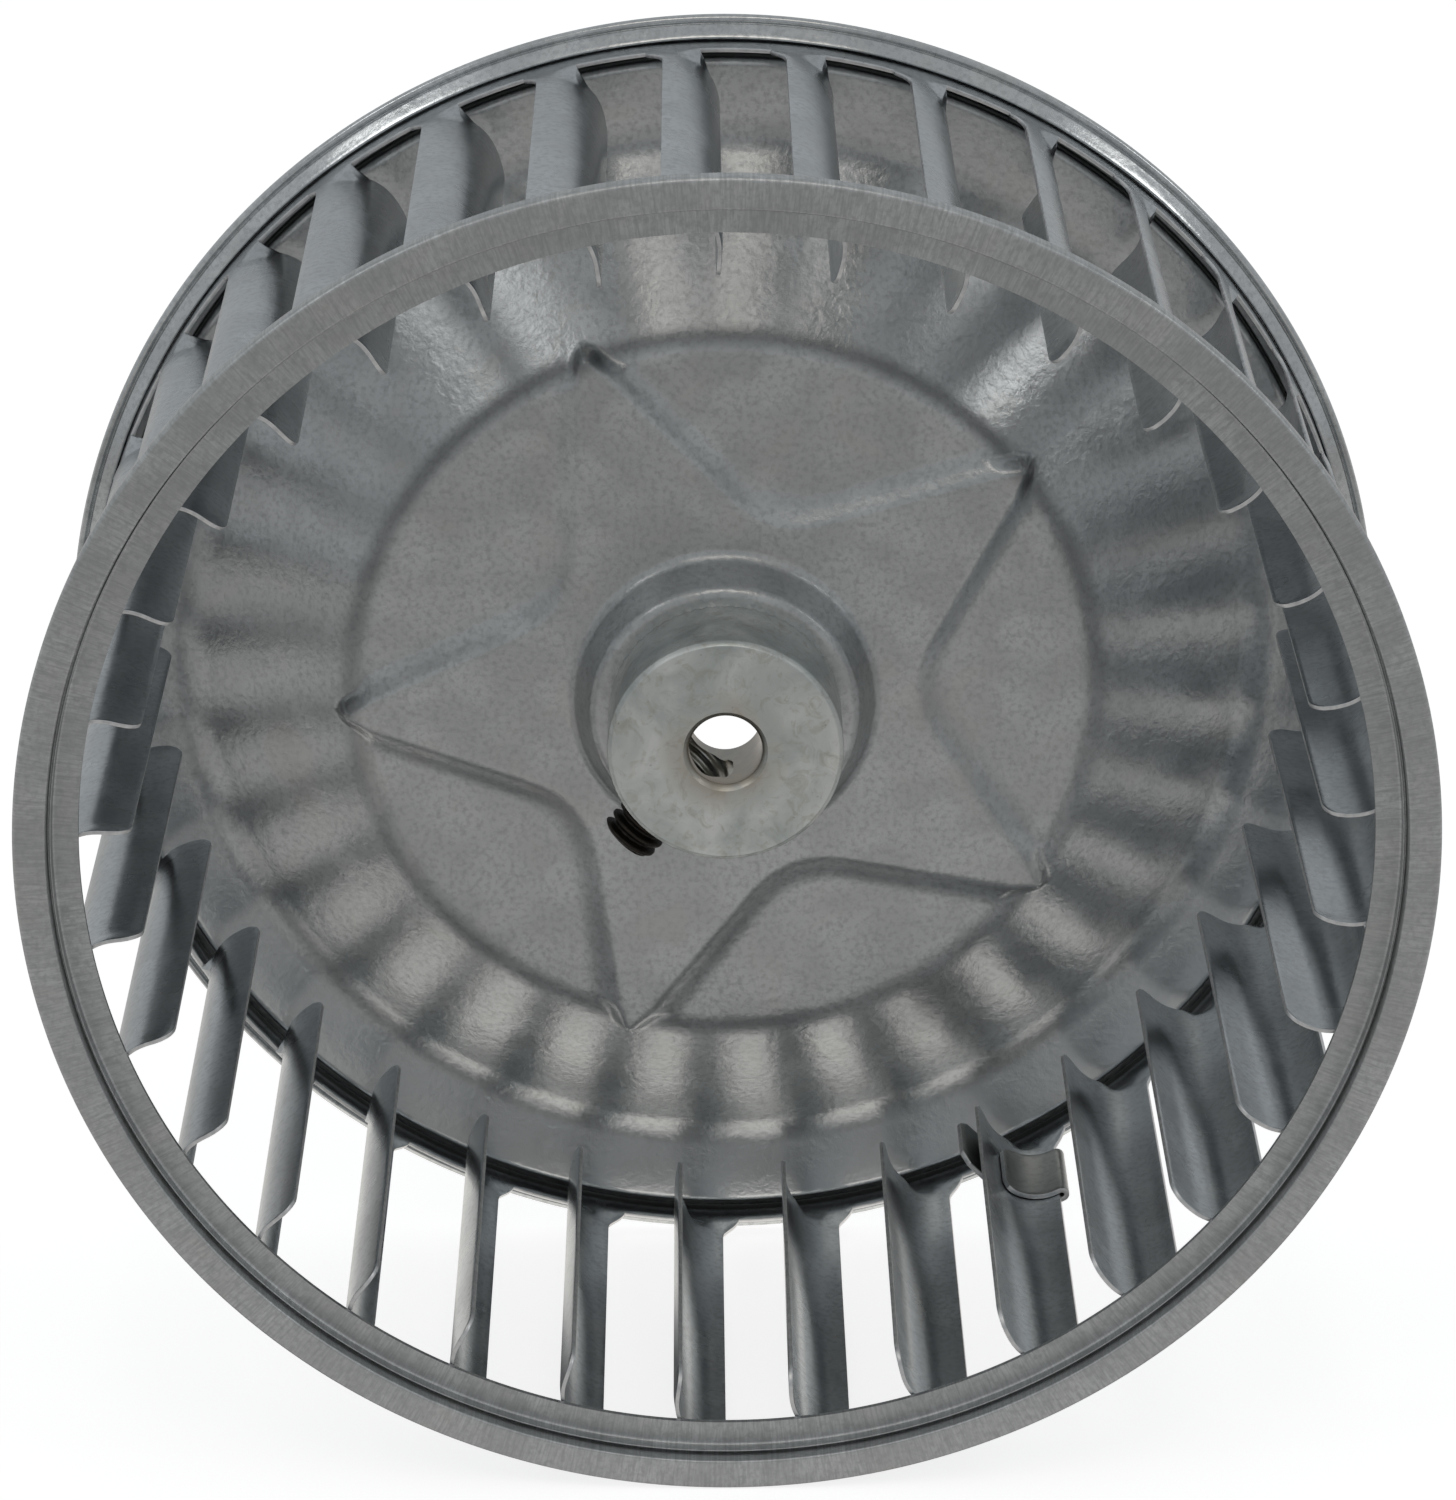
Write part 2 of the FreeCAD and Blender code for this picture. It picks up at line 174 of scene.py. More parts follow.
# Rolled seam behind the strip
SEAM_INNER_RADIUS = 70.2
SEAM_LEAF = ((70.45, 29.3), (70.6, 28.75), (71.85, 29.75))
SEAM_GROOVE = ((72.05, 29.98), (72.3, 29.7))
SEAM_BEAD = (72.85, 29.85)
SEAM_BENDS = (0.18, 0.4, 0.06, 0.25, 0.35, 0.3)
SEAM_UNEVENNESS = 0.028
LEAF_UNEVENNESS = 0.09

# Hub
HUB_CHAMFER = 0.5
BORE_CHAMFER = 0.6
BORE_BACK_CHAMFER = 1.0
HUB_HEAD_RADIUS = 12.05
HUB_HEAD_END_RADIUS = 11.9
PRESS_GAP = 0.02
HUB_BENDS = (0.15, 0.12, 0.3, 0.3, 0.05, 0.05, 0.05, 0.1, 0.2, 0.2)
KNURL_HEIGHT = 0.7
KNURL_DEPTH = 0.14
KNURL_TEETH = 64

# Set screw
SCREW_RADIUS = 3.175
SCREW_LENGTH = 9.5
THREAD_PITCH = 1.27
THREAD_DEPTH = 0.72
THREAD_FLAT = 0.12
SOCKET_FLATS = 3.175
SOCKET_DEPTH = 3.6
SOCKET_MOUTH = 0.12
SOCKET_FLOOR = 0.5
SOCKET_FLARE = 1.2
SOCKET_POINT_RADIUS = 0.4
SCREW_TIP_RADIUS = 1.95
SCREW_TIP_SLOPE = 1.15
SCREW_END_CHAMFER = 0.45
SCREW_END_SLOPE = 1.3
SCREW_STEP = 0.09
HOLE_START = -4.5
HOLE_LENGTH = 15.5
HOLE_STEP = 0.12
HOLE_CREST = 0.47
HOLE_THREAD_SHARE = 0.55

# Balance clip
CLIP_BLADE = 3
CLIP_SHEET = 0.6
CLIP_GAP = 0.03
CLIP_NOSE_GAP = 0.12
CLIP_INNER_SWEEP = 72.0
CLIP_OUTER_SWEEP = 62.0
CLIP_TAIL = (60.65, -1.9)
CLIP_CORNER = 1.5
CLIP_ROWS = 15

# Colours of the bare metals
RING_TINT = (0.55, 0.565, 0.57)
SEAM_TINT = (0.6, 0.62, 0.63)
STRIP_TINT = (0.5, 0.53, 0.55)
PLATE_TINT = (0.535, 0.55, 0.555)
CLIP_TINT = (0.42, 0.425, 0.41)
HUB_DULL = (0.5, 0.54, 0.53)
HUB_BRIGHT = (0.76, 0.78, 0.76)
HUB_STAIN = (0.4, 0.385, 0.33, 1.0)
BORE_STAIN = (0.2, 0.175, 0.155, 1.0)
RIM_STAIN = (0.42, 0.37, 0.3, 1.0)
SPECK = (0.12, 0.11, 0.1, 1.0)
# Painted shade in the gap behind the strip
GAP_PAINTED_SHADE = (0.02, 0.018, 0.016, 1.0)
# Painted shade along the bend round the plate's centre
BEND_PAINTED_SHADE = (0.12, 0.125, 0.13, 1.0)

# Studio, in millimetres unless said otherwise
FLOOR_HALF = 4000.0
FLOOR_GAP = 0.05
FLOOR_SEEN = (0.78, 0.78, 0.78, 1.0)
FLOOR_SHADE = (0.5, 0.5, 0.5, 1.0)
# Painted light: warm floor glow under the back, seen only in reflections
FLOOR_PAINTED_GLOW = (0.98, 0.95, 0.9, 1.0)
# Painted shadow on the floor under the inlet, seen only in reflections
FLOOR_PAINTED_SHADOW = (0.12, 0.12, 0.12, 1.0)
SKY_TINT = (0.95, 0.98, 1.0, 1.0)
SKY_FRONT = 0.42
SKY_BACK = 0.5
LEFT_PLACE = (-407, -308, 458)
RIGHT_PLACE = (510, -284, 364)
SIDE_SIZE = (130, 130)
SIDE_WATTS = 0.15
SIDE_TINT = (1.0, 0.99, 0.97)
TOP_PLACE = (0, -330, 430)
TOP_SIZE = (220, 170)
TOP_WATTS = 0.16
TOP_TINT = (1.0, 0.92, 0.82)
VIEW_TARGET = (0.258, 0.0, 0.059)
VIEW_DISTANCE = 592.68
VIEW_ELEVATION = 22.573
VIEW_AZIMUTH = -0.413
LENS = 132.664
SENSOR = 36.0


def smooth_step(value):
    """0 below 0, 1 above 1 and a smooth rise between."""
    value = min(1.0, max(0.0, value))
    return value * value * (3 - 2 * value)


def mix(first, second, weight):
    """Point or number between first and second."""
    if isinstance(first, tuple):
        return tuple(a + (b - a) * weight for a, b in zip(first, second))
    return first + (second - first) * weight


def rounded_path(points, radii, steps):
    """Points along a path of straight lines whose inner corners are rounded."""
    result = [points[0]]
    for i in range(1, len(points) - 1):
        corner = Vector(points[i])
        before = (corner - Vector(points[i - 1])).normalized()
        after = (Vector(points[i + 1]) - corner).normalized()
        half_turn = before.angle(after) / 2
        radius = radii[i - 1]
        reach = radius * math.tan(half_turn)
        start = corner - before * reach
        inward = (after - before).normalized()
        centre = corner + inward * (radius / math.cos(half_turn))
        first = start - centre
        turn = before.angle_signed(after)
        for step in range(steps + 1):
            angle = -turn * step / steps
            c, s = math.cos(angle), math.sin(angle)
            spoke = Vector((first.x * c - first.y * s, first.x * s + first.y * c))
            result.append(tuple(centre + spoke))
    result.append(points[-1])
    return result


def subdivided(points, longest):
    """The path with extra points, so that no step is longer than longest."""
    result = [points[0]]
    for first, second in zip(points[:-1], points[1:]):
        gap = math.dist(first, second)
        count = max(1, math.ceil(gap / longest))
        for step in range(1, count + 1):
            result.append(mix(first, second, step / count))
    return result


def new_object(name, verts, faces):
    """Mesh object from points in millimetres and faces."""
    mesh = bpy.data.meshes.new(name)
    mesh.from_pydata([tuple(c * MM for c in v) for v in verts], [], faces)
    mesh.validate()
    mesh.update()
    obj = bpy.data.objects.new(name, mesh)
    bpy.context.scene.collection.objects.link(obj)
    return obj


def smooth_shaded(obj, degrees=32):
    """Smooth shading with sharp edges where faces meet at more than this angle."""
    obj.data.polygons.foreach_set("use_smooth", [True] * len(obj.data.polygons))
    obj.data.set_sharp_from_angle(angle=math.radians(degrees))
    obj.data.update()


def keep_modifiers(obj):
    """Turns what the modifiers make into the object's own mesh."""
    depsgraph = bpy.context.evaluated_depsgraph_get()
    made = bpy.data.meshes.new_from_object(obj.evaluated_get(depsgraph))
    obj.modifiers.clear()
    obj.data = made


def thicken(obj, thickness, offset, edge_round=0.0):
    """Gives a surface its sheet thickness; the rim takes the second material and can be rounded."""
    solid = obj.modifiers.new("sheet", "SOLIDIFY")
    solid.thickness = thickness * MM
    solid.offset = offset
    solid.use_even_offset = True
    solid.material_offset_rim = 1
    if edge_round:
        rounding = obj.modifiers.new("rounding", "BEVEL")
        rounding.width = edge_round * MM
        rounding.segments = 2
        rounding.limit_method = "ANGLE"
        rounding.angle_limit = math.radians(60)
    keep_modifiers(obj)


def on_wheel(radius, depth, angle):
    """Point at a radius, depth and angle in degrees round the wheel axis."""
    turn = math.radians(angle)
    return (radius * math.cos(turn), depth, radius * math.sin(turn))


def lathe(name, outline, segments, shape=None):
    """Closed outline of (radius, depth) turned about the wheel axis. shape may move each point."""
    verts = []
    faces = []
    count = len(outline)
    for j in range(segments):
        angle = 360.0 * j / segments
        for radius, depth in outline:
            if shape:
                radius, depth = shape(radius, depth, angle)
            verts.append(on_wheel(radius, depth, angle))
        for i in range(count):
            a = j * count + i
            b = j * count + (i + 1) % count
            c = ((j + 1) % segments) * count + (i + 1) % count
            d = ((j + 1) % segments) * count + i
            faces.append((a, b, c, d))
    return new_object(name, verts, faces)


def outward_normals(obj):
    """Makes every face of a closed mesh look outward."""
    mesh = bmesh.new()
    mesh.from_mesh(obj.data)
    bmesh.ops.recalc_face_normals(mesh, faces=mesh.faces)
    mesh.to_mesh(obj.data)
    mesh.free()
    obj.data.update()


def wave(seed, size, orders):
    """Function of an angle in degrees: a seeded sum of sines of about this size."""
    chance = random.Random(seed)
    terms = [(order, chance.uniform(0.4, 1.0), chance.uniform(0, 2 * math.pi)) for order in orders]

    def value(angle):
        turn = math.radians(angle)
        total = sum(weight * math.sin(order * turn + phase) for order, weight, phase in terms)
        return size * total / len(terms)

    return value


# ---------------------------------------------------------------- materials

class Nodes:
    """Short way to write a material's node tree."""

    def __init__(self, name):
        self.material = bpy.data.materials.new(name)
        self.material.use_nodes = True
        self.tree = self.material.node_tree
        self.tree.nodes.clear()

    def add(self, kind, inputs=None, **settings):
        node = self.tree.nodes.new(kind)
        for key, value in settings.items():
            setattr(node, key, value)
        for key, value in (inputs or {}).items():
            self.feed(node, key, value)
        return node

    def feed(self, node, key, value):
        if isinstance(value, bpy.types.NodeSocket):
            self.tree.links.new(value, node.inputs[key])
        else:
            node.inputs[key].default_value = value

    def math(self, operation, *values):
        node = self.add("ShaderNodeMath", operation=operation)
        for i, value in enumerate(values):
            self.feed(node, i, value)
        return node.outputs[0]

    def noise(self, vector, scale, detail=3.0, roughness=0.5, distortion=0.0):
        values = {"Vector": vector, "Scale": scale, "Detail": detail,
                  "Roughness": roughness, "Distortion": distortion}
        return self.add("ShaderNodeTexNoise", values).outputs["Fac"]

    def span(self, value, low, high, out_low, out_high):
        values = {"Value": value, "From Min": low, "From Max": high,
                  "To Min": out_low, "To Max": out_high}
        return self.add("ShaderNodeMapRange", values).outputs[0]

    def colour(self, factor, *stops):
        node = self.add("ShaderNodeValToRGB", {"Fac": factor})
        ramp = node.color_ramp
        while len(ramp.elements) < len(stops):
            ramp.elements.new(0.5)
        for element, (place, tint) in zip(ramp.elements, stops):
            element.position = place
            element.color = (*tint, 1.0)
        return node.outputs["Color"]

    def blend(self, factor, first, second):
        node = self.add("ShaderNodeMix", data_type="RGBA", blend_type="MIX")
        self.feed(node, 0, factor)
        self.feed(node, 6, first)
        self.feed(node, 7, second)
        return node.outputs[2]

    def product(self, first, second):
        return self.math("MULTIPLY", first, second)

    def combine(self, x, y, z):
        return self.add("ShaderNodeCombineXYZ", {0: x, 1: y, 2: z}).outputs[0]

    def finish(self, inputs, height, strength, distance):
        bump = self.add("ShaderNodeBump",
                        {"Strength": strength, "Distance": distance, "Height": height})
        shader = self.add("ShaderNodeBsdfPrincipled", inputs)
        self.feed(shader, "Normal", bump.outputs[0])
        out = self.add("ShaderNodeOutputMaterial")
        self.tree.links.new(shader.outputs[0], out.inputs["Surface"])
        return self.material


def object_place(nodes):
    """Object coordinates, then the radius, angle and depth on the wheel, in metres and radians."""
    place = nodes.add("ShaderNodeTexCoord").outputs["Object"]
    split = nodes.add("ShaderNodeSeparateXYZ", {0: place})
    x, y, z = split.outputs
    radius = nodes.math("SQRT", nodes.math("ADD", nodes.product(x, x), nodes.product(z, z)))
    angle = nodes.math("ARCTAN2", z, x)
    return place, radius, angle, y


def galvanised(name, tint, seed, roughness, relief=0.16, rubbed=False, painted_plate_light=False):
    """Galvanised sheet: faint crystal spangle, leathery grain and dull patches, and painted shade in the
    gap behind the strip. A rubbed sheet has radial marks. With painted_plate_light it gets a painted
    dark band along the bend round its centre, strongest on the top half, and painted light that makes
    the lower part of its flange lighter."""
    nodes = Nodes(name)
    place, radius, angle, depth = object_place(nodes)
    upward = nodes.add("ShaderNodeSeparateXYZ", {0: place}).outputs[2]
    offset = (seed * 0.37, seed * 0.11, seed * 0.23)
    shifted = nodes.add("ShaderNodeVectorMath", {0: place, 1: offset}, operation="ADD").outputs[0]
    cells = {"Vector": shifted, "Scale": 260.0, "Randomness": 1.0}
    spangle = nodes.add("ShaderNodeTexVoronoi", cells, feature="SMOOTH_F1")
    crystal = nodes.add("ShaderNodeSeparateColor", {0: spangle.outputs["Color"]}).outputs[0]
    grain = nodes.noise(shifted, 1500.0, 3.0, 0.6)
    leather = nodes.noise(shifted, 620.0, 3.0, 0.55, 0.4)
    patches = nodes.noise(shifted, 38.0, 4.0, 0.55, 0.6)
    stains = nodes.noise(shifted, 95.0, 5.0, 0.6, 1.2)
    light = tuple(c * 1.08 for c in tint)
    dark = tuple(c * 0.92 for c in tint)
    deep = tuple(c * 0.72 for c in tint)
    warm = tuple(c * f for c, f in zip(tint, (1.02, 0.98, 0.93)))
    base = nodes.colour(nodes.span(crystal, 0.2, 0.8, 0.0, 1.0), (0.0, dark), (1.0, light))
    base = nodes.blend(nodes.span(grain, 0.45, 0.68, 0.0, 0.75), base, (*deep, 1.0))
    base = nodes.blend(nodes.span(stains, 0.54, 0.74, 0.0, 0.5), base, (*warm, 1.0))
    rough = nodes.math("ADD", nodes.span(patches, 0.3, 0.7, -0.04, 0.05), roughness)
    rough = nodes.math("ADD", rough, nodes.span(crystal, 0.2, 0.8, -0.015, 0.015))
    height = nodes.math("ADD", nodes.product(grain, 0.5), leather)
    # Painted shade in the gap between the strip and the fold at the back, darkest at the bottom
    gap_depth = nodes.product(nodes.span(depth, 0.0279, 0.0285, 0.0, 1.0),
                              nodes.span(depth, 0.0303, 0.0304, 1.0, 0.0))
    gap_width = nodes.product(nodes.span(radius, 0.0686, 0.0688, 0.0, 1.0),
                              nodes.span(radius, 0.0701, 0.0702, 1.0, 0.0))
    gap_painted_shade = nodes.product(nodes.product(gap_depth, gap_width), nodes.span(upward, -0.03, 0.02, 1.0, 0.3))
    base = nodes.blend(gap_painted_shade, base, GAP_PAINTED_SHADE)
    if painted_plate_light:
        # Painted shade: a dark band along the bend round the centre, strongest on the top half
        bend = nodes.product(nodes.span(radius, 0.0398, 0.0411, 0.0, 1.0),
                             nodes.span(radius, 0.0416, 0.0428, 1.0, 0.0))
        bend_painted_shade = nodes.product(bend, nodes.span(upward, -0.03, 0.03, 0.1, 0.55))
        base = nodes.blend(bend_painted_shade, base, BEND_PAINTED_SHADE)
        # Painted light: the lower part of the flange is made lighter
        lit_flange_tint = tuple(c * 1.35 for c in tint)
        flange = nodes.product(nodes.span(radius, 0.0595, 0.062, 0.0, 0.8),
                               nodes.span(upward, -0.045, -0.01, 1.0, 0.0))
        base = nodes.blend(flange, base, (*lit_flange_tint, 1.0))
    if rubbed:
        across = nodes.combine(nodes.product(radius, 60.0), nodes.product(angle, 42.0), 0.3)
        streaks = nodes.noise(across, 6.0, 5.0, 0.7)
        base = nodes.blend(nodes.span(streaks, 0.42, 0.66, 0.0, 0.85), base, (*deep, 1.0))
        rough = nodes.math("ADD", rough, nodes.span(streaks, 0.3, 0.7, -0.02, 0.08))
        height = nodes.math("ADD", height, nodes.product(streaks, 0.8))
    shader = {"Base Color": base, "Metallic": 1.0, "Roughness": rough}
    return nodes.finish(shader, height, relief, 0.00012)


def cut_edge():
    """Bright sheared edge of the sheet, with fine shear lines."""
    nodes = Nodes("sheared_edge")
    _, radius, angle, depth = object_place(nodes)
    along = nodes.combine(nodes.product(radius, 900.0), nodes.product(depth, 900.0),
                          nodes.product(angle, 40.0))
    lines = nodes.noise(along, 1.6, 3.0)
    base = nodes.colour(lines, (0.3, (0.6, 0.61, 0.62)), (0.7, (0.8, 0.8, 0.8)))
    rough = nodes.span(lines, 0.3, 0.7, 0.3, 0.5)
    shader = {"Base Color": base, "Metallic": 1.0, "Roughness": rough}
    return nodes.finish(shader, lines, 0.2, 0.00005)


def turned_zinc():
    """Turned steel under zinc plate: fine rings, cloudy stains, a brown bore and a few dark specks."""
    nodes = Nodes("turned_zinc")
    place, radius, angle, depth = object_place(nodes)
    around = nodes.combine(nodes.product(radius, 5200.0), nodes.product(depth, 5200.0),
                           nodes.product(angle, 1.2))
    rings = nodes.noise(around, 1.0, 2.0)
    cloud = nodes.noise(place, 120.0, 4.0, 0.6, 0.8)
    specks = nodes.noise(place, 1100.0, 2.0, 0.4)
    base = nodes.colour(nodes.span(cloud, 0.35, 0.65, 0.0, 1.0), (0.0, HUB_DULL), (1.0, HUB_BRIGHT))
    base = nodes.blend(nodes.span(radius, 0.00405, 0.0043, 0.75, 0.0), base, BORE_STAIN)
    stains = nodes.noise(place, 480.0, 4.0, 0.65, 1.5)
    base = nodes.blend(nodes.span(stains, 0.5, 0.7, 0.0, 0.55), base, HUB_STAIN)
    near_bore = nodes.product(nodes.span(radius, 0.0045, 0.0075, 1.0, 0.0),
                              nodes.span(cloud, 0.4, 0.6, 0.1, 0.8))
    base = nodes.blend(near_bore, base, RIM_STAIN)
    base = nodes.blend(nodes.span(specks, 0.75, 0.8, 0.0, 0.4), base, SPECK)
    rough = nodes.math("ADD", nodes.span(rings, 0.3, 0.7, -0.03, 0.04),
                       nodes.span(cloud, 0.3, 0.7, 0.3, 0.4))
    shader = {"Base Color": base, "Metallic": 1.0, "Roughness": rough}
    return nodes.finish(shader, rings, 0.12, 0.00005)


def black_oxide():
    """Black oxide steel, slightly oily, worn brown on the thread crests."""
    nodes = Nodes("black_oxide_steel")
    place = nodes.add("ShaderNodeTexCoord").outputs["Object"]
    wear = nodes.noise(place, 900.0, 4.0, 0.6)
    fine = nodes.noise(place, 3500.0, 3.0)
    edges = nodes.add("ShaderNodeNewGeometry").outputs["Pointiness"]
    worn = nodes.math("ADD", nodes.span(wear, 0.3, 0.7, 0.0, 0.4), nodes.span(edges, 0.5, 0.6, 0.0, 0.6))
    base = nodes.colour(worn, (0.0, (0.012, 0.011, 0.01)), (0.6, (0.035, 0.028, 0.022)),
                        (1.0, (0.12, 0.1, 0.085)))
    rough = nodes.span(fine, 0.3, 0.7, 0.32, 0.5)
    shader = {"Base Color": base, "Metallic": 0.75, "Roughness": rough}
    return nodes.finish(shader, fine, 0.2, 0.00004)


# ------------------------------------------------------------------- pieces

def build_front_ring():
    """Front end ring: lip, grooved wall and rolled edge, slightly uneven all round."""
    face = FRONT_FACE
    lip_front = -LIP_BACK - RIM_SHEET
    shown = rounded_path([
        (LIP_RADIUS, lip_front), (WALL_RADIUS, lip_front), (WALL_RADIUS, -GROOVE_FRONT),
        (GROOVE_RADIUS, -GROOVE_FRONT), (GROOVE_RADIUS, -GROOVE_BACK), (FACE_INNER_RADIUS, -GROOVE_BACK),
        (FACE_INNER_RADIUS, face), (SEAM_RADIUS, face), (SEAM_RADIUS, -BEAD_BACK),
        (RING_LEAF_RADIUS, -RING_LEAF_DEPTH)],
        RING_BENDS, 6)
    strip_outer = STRIP_RADIUS + STRIP_SHEET / 2
    fold_back = face + RIM_SHEET
    hidden = [
        (RING_LEAF_RADIUS, -RING_LEAF_DEPTH - 0.5), (RING_FOLD_RADIUS, -RING_FOLD_DEPTH),
        (RING_FOLD_RADIUS, fold_back), (strip_outer, fold_back), (strip_outer, -RING_GRIP_DEPTH),
        (WALL_RADIUS + 0.3, -LIP_BACK), (LIP_RADIUS, -LIP_BACK)]
    outline = subdivided(shown, 0.3) + hidden
    uneven = wave(SEED, HEM_UNEVENNESS, (3, 5, 8, 13, 21))

    def shape(radius, depth, angle):
        if radius > FACE_INNER_RADIUS + 0.1:
            depth += uneven(angle)
        return radius, depth

    ring = lathe("end_ring", outline, LATHE_SEGMENTS, shape)
    outward_normals(ring)
    smooth_shaded(ring, 40)
    return ring


def blade_place(distance):
    """(radius, angle) of the bent sheet's middle at this distance from a blade's root line."""
    centre = STRIP_RADIUS - ROOT_ARC
    quarter = ROOT_ARC * math.pi / 2
    if distance <= 0:
        radial, tangential = STRIP_RADIUS, ROOT_ARC - distance
    elif distance <= quarter:
        turn = distance / ROOT_ARC
        radial = centre + ROOT_ARC * math.cos(turn)
        tangential = ROOT_ARC - ROOT_ARC * math.sin(turn)
    else:
        turn = (distance - quarter) / TIP_ARC
        radial = centre - TIP_ARC * math.sin(turn)
        tangential = TIP_ARC - TIP_ARC * math.cos(turn)
    lag = math.degrees(ROOT_ARC / STRIP_RADIUS)
    return math.hypot(radial, tangential), math.degrees(math.atan2(tangential, radial)) - lag


def blade_length():
    """Length of the sheet from a blade's root line to its tip."""
    drop = STRIP_RADIUS - ROOT_ARC - TIP_RADIUS
    return ROOT_ARC * math.pi / 2 + TIP_ARC * math.asin(drop / TIP_ARC)


def strip_point(root_angle, distance, depth, margin):
    """Point of the strip: flat against the cylinder at a band, bent inward away from it.
    margin is the distance along the wheel from the nearer band."""
    radius, turn = blade_place(distance)
    bent = on_wheel(radius, depth, root_angle + turn)
    flat = on_wheel(STRIP_RADIUS, depth, root_angle - math.degrees(distance / STRIP_RADIUS))
    hook = max(0.0, distance - ATTACHED_WIDTH) / HOOK_RUN
    return mix(flat, bent, smooth_step(margin / BEND_RUN + hook))


def root_edge(margin):
    """Where the sheet ends past a root line; it flares out near the bands."""
    return -ROOT_WEB - FLARE_WIDTH * (1 - smooth_step(margin / FLARE_RUN))


def tip_edge(margin):
    """Where the sheet ends at a blade's tip, with rounded corners."""
    length = blade_length()
    if margin >= TIP_CORNER:
        return length
    rise = TIP_CORNER - margin
    return length - TIP_CORNER + math.sqrt(TIP_CORNER ** 2 - rise ** 2)


def blade_rows():
    """Depths of the rows of one blade's mesh, and each row's distance from the nearer band."""
    span = WINDOW_BACK - WINDOW_FRONT
    front = [(WINDOW_FRONT + m, m) for m in ROW_MARGINS]
    back = [(WINDOW_BACK - m, m) for m in ROW_MARGINS]
    return front + [(WINDOW_FRONT + span / 2, span / 2)] + back[::-1]


def band_steps():
    """Distances past a root line of one pitch of points along a band: the attached root, then the
    window up to the next blade."""
    pitch_length = 2 * math.pi * STRIP_RADIUS / BLADE_COUNT
    flare_start = root_edge(0.0)
    steps = [mix(flare_start, ATTACHED_WIDTH, i / ROOT_STEPS) for i in range(ROOT_STEPS + 1)]
    steps += [mix(ATTACHED_WIDTH, pitch_length + flare_start, i / WINDOW_STEPS)
              for i in range(1, WINDOW_STEPS)]
    return steps


def add_band(verts, faces, steps, end, side):
    """Adds an end band, from the windows' end to the fold that holds it. Returns where it starts."""
    reach = abs(FRONT_FACE) - RIM_SHEET - BAND_GAP - abs(end)
    start = len(verts)
    around = len(steps) * BLADE_COUNT
    for share in BAND_SHARES:
        depth = end + side * share * reach
        for k in range(BLADE_COUNT):
            root = FIRST_BLADE + BLADE_PITCH * k
            for distance in steps:
                angle = root - math.degrees(distance / STRIP_RADIUS)
                verts.append(on_wheel(STRIP_RADIUS, depth, angle))
    for row in range(len(BAND_SHARES) - 1):
        base = start + row * around
        for k in range(BLADE_COUNT):
            for i in range(len(steps)):
                here = k * len(steps) + i
                if i + 1 < len(steps):
                    there = here + 1
                else:
                    there = ((k - 1) % BLADE_COUNT) * len(steps)
                quad = (base + here, base + there, base + around + there, base + around + here)
                faces.append(quad if side < 0 else quad[::-1])
    return start


def add_blade(verts, faces, root_starts, exact_root, root, swing):
    """Adds a blade. Its first and last rows take their root points from the bands, where
    root_starts says. It strays from its exact root line, and swings, away from the bands."""
    rows = blade_rows()
    grid = []
    for row, (depth, margin) in enumerate(rows):
        at_band = row in (0, len(rows) - 1)
        front_half = depth < (WINDOW_FRONT + WINDOW_BACK) / 2
        side = -1 if front_half else 1
        cut = FRONT_CUT if front_half else BACK_CUT
        own = margin * (END_ZONE - cut) / END_ZONE if margin < END_ZONE else margin - cut
        first, last = root_edge(margin), tip_edge(own)
        line = []
        for i in range(ROOT_STEPS + FREE_STEPS + 1):
            if at_band and i <= ROOT_STEPS:
                line.append(root_starts[side] + i)
                continue
            if i <= ROOT_STEPS:
                distance = mix(first, ATTACHED_WIDTH, i / ROOT_STEPS)
                place, gap = depth, margin
            else:
                distance = mix(ATTACHED_WIDTH, last, (i - ROOT_STEPS) / FREE_STEPS)
                gap = own + cut
                place = depth - side * (gap - margin)
            settle = smooth_step(gap / BEND_RUN)
            angle = mix(exact_root, root, settle)
            twist = math.degrees(swing * settle * max(0.0, distance - ROOT_ARC) / TWIST_EASE)
            line.append(len(verts))
            verts.append(strip_point(angle + twist, distance, place, gap))
        grid.append(line)
    for near, far in zip(grid[:-1], grid[1:]):
        for i in range(ROOT_STEPS + FREE_STEPS):
            faces.append((near[i], far[i], far[i + 1], near[i + 1]))


def build_strip():
    """Blade strip: two end bands and all the blades, cut and bent from one piece of sheet."""
    verts = []
    faces = []
    steps = band_steps()
    band_start = {-1: add_band(verts, faces, steps, WINDOW_FRONT, -1),
                  1: add_band(verts, faces, steps, WINDOW_BACK, 1)}
    chance = random.Random(SEED)
    for k in range(BLADE_COUNT):
        exact_root = FIRST_BLADE + BLADE_PITCH * k
        root = exact_root + chance.uniform(-ROOT_SPREAD, ROOT_SPREAD)
        swing = chance.uniform(-TWIST_SPREAD, TWIST_SPREAD)
        root_starts = {side: start + k * len(steps) for side, start in band_start.items()}
        add_blade(verts, faces, root_starts, exact_root, root, swing)
    return new_object("blade_cage", verts, faces)


def smallest(first, second, blend):
    """Smaller of two numbers, with the corner between them rounded."""
    overlap = max(0.0, blend - abs(first - second)) / blend
    return min(first, second) - overlap * overlap * blend / 4


def star_reach(radius, angle):
    """Distance from the star's outline to this place; negative on the star itself."""
    share = 360.0 / STAR_ARMS
    turn = (angle - STAR_TIP_ANGLE) % share - share / 2
    x = radius * math.cos(math.radians(turn))
    z = radius * math.sin(math.radians(turn))
    half_share = math.radians(share / 2)
    tip = (STAR_TIP_RADIUS * math.cos(half_share), STAR_TIP_RADIUS * math.sin(half_share))
    run = math.hypot(tip[0] - STAR_NOTCH, tip[1])
    along = (tip[0] - STAR_NOTCH) / run
    away = (x - STAR_NOTCH) * tip[1] / run
    return smallest(away - z * along, away + z * along, STAR_NOTCH_ROUND)


